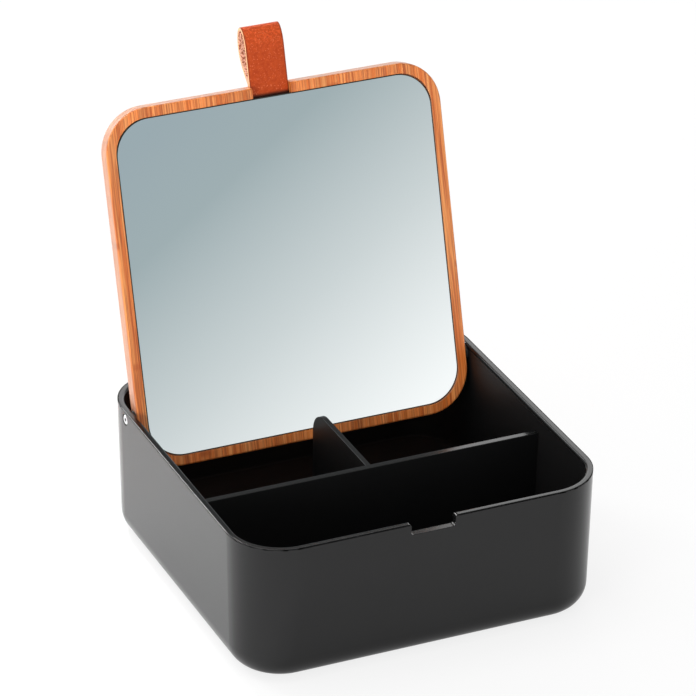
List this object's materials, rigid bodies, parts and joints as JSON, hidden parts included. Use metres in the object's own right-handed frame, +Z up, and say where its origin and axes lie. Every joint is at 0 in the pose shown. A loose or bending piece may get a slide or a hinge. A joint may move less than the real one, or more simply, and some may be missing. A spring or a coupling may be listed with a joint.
{
  "type": "jewelry box with mirror lid",
  "caption": "Square moulded jewelry box with a T-shaped divider and a bamboo lid that pivots between the side walls, carries a mirror on its underside and opens by a leather pull loop.",
  "frame": {"origin": "centre of the box's flat underside, on the surface that it stands on", "axes": "+Z up, -Y to the front wall with the notch, +X to the right seen from the front; the hinge axis runs along X"},
  "size_m": [0.18, 0.2041, 0.2312],
  "materials": {
    "box_plastic": "satin black moulded plastic with a fine moulded grain",
    "divider_plastic": "satin black moulded plastic",
    "bamboo": "caramelised bamboo, clear satin varnish, grain along the lid's length",
    "mirror": "silvered float glass with ground edges",
    "tape": "thin double-sided adhesive tape",
    "leather": "burnt orange smooth leather outside, raw suede inside, pale cut edges",
    "steel": "turned stainless steel",
    "nylon": "black nylon"
  },
  "bodies": {
    "box": {"box_shell": "box_plastic", "divider_insert": "divider_plastic"},
    "lid": {"lid_board": "bamboo", "mirror_glass": "mirror", "mirror_tape_left": "tape", "mirror_tape_right": "tape", "pull_strap": "leather", "hinge_screw_left": "steel", "hinge_screw_right": "steel", "spacer_washer_left": "nylon", "spacer_washer_right": "nylon"}
  },
  "joints": [
    {"name": "lid_hinge", "type": "hinge", "parent": "box", "child": "lid", "pos_m": [0, 0.0594, 0.06555], "axis": [1, 0, 0], "range_deg": [-15, 106]}
  ]
}
